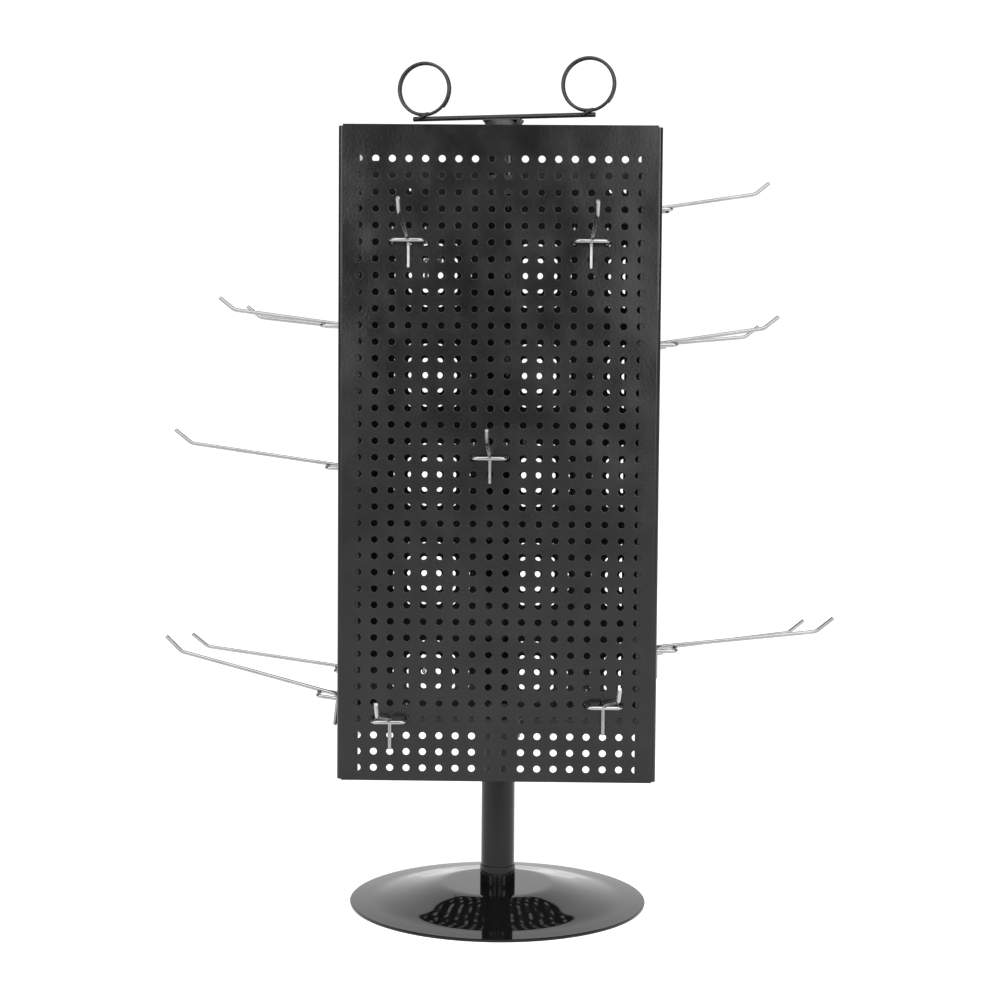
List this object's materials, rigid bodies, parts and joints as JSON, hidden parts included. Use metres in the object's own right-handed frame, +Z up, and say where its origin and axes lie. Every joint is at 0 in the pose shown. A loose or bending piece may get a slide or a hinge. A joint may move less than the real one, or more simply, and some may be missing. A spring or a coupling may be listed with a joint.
{
  "type": "rotating display rack",
  "caption": "Countertop spinner rack: square box of perforated panels turning on a post over a dished base, with wire hooks and a swivelling card holder",
  "frame": {"origin": "bottom centre of the base, on the post's axis, in the plane of the rim that stands on the counter", "axes": "+Z up along the post; -Y out of the front panel; +X to the viewer's right when facing the front panel"},
  "size_m": [0.533, 0.533, 0.7021],
  "materials": {
    "powder_coat": "semi-gloss black powder coat with a slight orange peel",
    "gloss_paint": "high-gloss black paint",
    "satin_paint": "satin black paint over wire",
    "black_collar": "black oxide steel",
    "zinc_wire": "bright zinc plate on drawn wire",
    "plain_steel": "zinc-plated steel",
    "nylon": "black nylon",
    "plug_plastic": "moulded black plastic"
  },
  "bodies": {
    "base": {"base_dish": "gloss_paint", "base_washer": "plain_steel", "base_bolt": "plain_steel", "post_insert": "plain_steel", "post_tube": "gloss_paint", "post_foot_sleeve": "gloss_paint", "stop_collar": "black_collar", "collar_screw": "plain_steel", "thrust_washer": "nylon"},
    "box": {"front_panel": "powder_coat", "back_panel": "powder_coat", "left_panel": "powder_coat", "right_panel": "powder_coat", "lower_strap": "powder_coat", "upper_strap": "powder_coat", "lower_bushing": "nylon", "upper_bushing": "nylon", "hook_front_upper_left": "zinc_wire", "hook_front_upper_right": "zinc_wire", "hook_front_centre": "zinc_wire", "hook_front_lower_left": "zinc_wire", "hook_front_lower_right": "zinc_wire", "hook_left_upper_front": "zinc_wire", "hook_left_upper_rear": "zinc_wire", "hook_left_centre": "zinc_wire", "hook_left_lower_front": "zinc_wire", "hook_left_lower_rear": "zinc_wire", "hook_right_top": "zinc_wire", "hook_right_upper_front": "zinc_wire", "hook_right_upper_rear": "zinc_wire", "hook_right_lower_front": "zinc_wire", "hook_right_lower_rear": "zinc_wire", "hook_back_upper_left": "zinc_wire", "hook_back_upper_right": "zinc_wire", "hook_back_centre": "zinc_wire", "hook_back_lower_left": "zinc_wire", "hook_back_lower_right": "zinc_wire"},
    "card_holder": {"holder_plug": "plug_plastic", "holder_saddle": "satin_paint", "holder_bar": "satin_paint", "left_card_clip": "satin_paint", "right_card_clip": "satin_paint"}
  },
  "joints": [
    {"name": "box_turn", "type": "hinge", "parent": "base", "child": "box", "pos_m": [0, 0, 0.158], "axis": [0, 0, 1], "continuous": true},
    {"name": "card_holder_swivel", "type": "hinge", "parent": "base", "child": "card_holder", "pos_m": [0, 0, 0.6435], "axis": [0, 0, 1], "continuous": true}
  ]
}
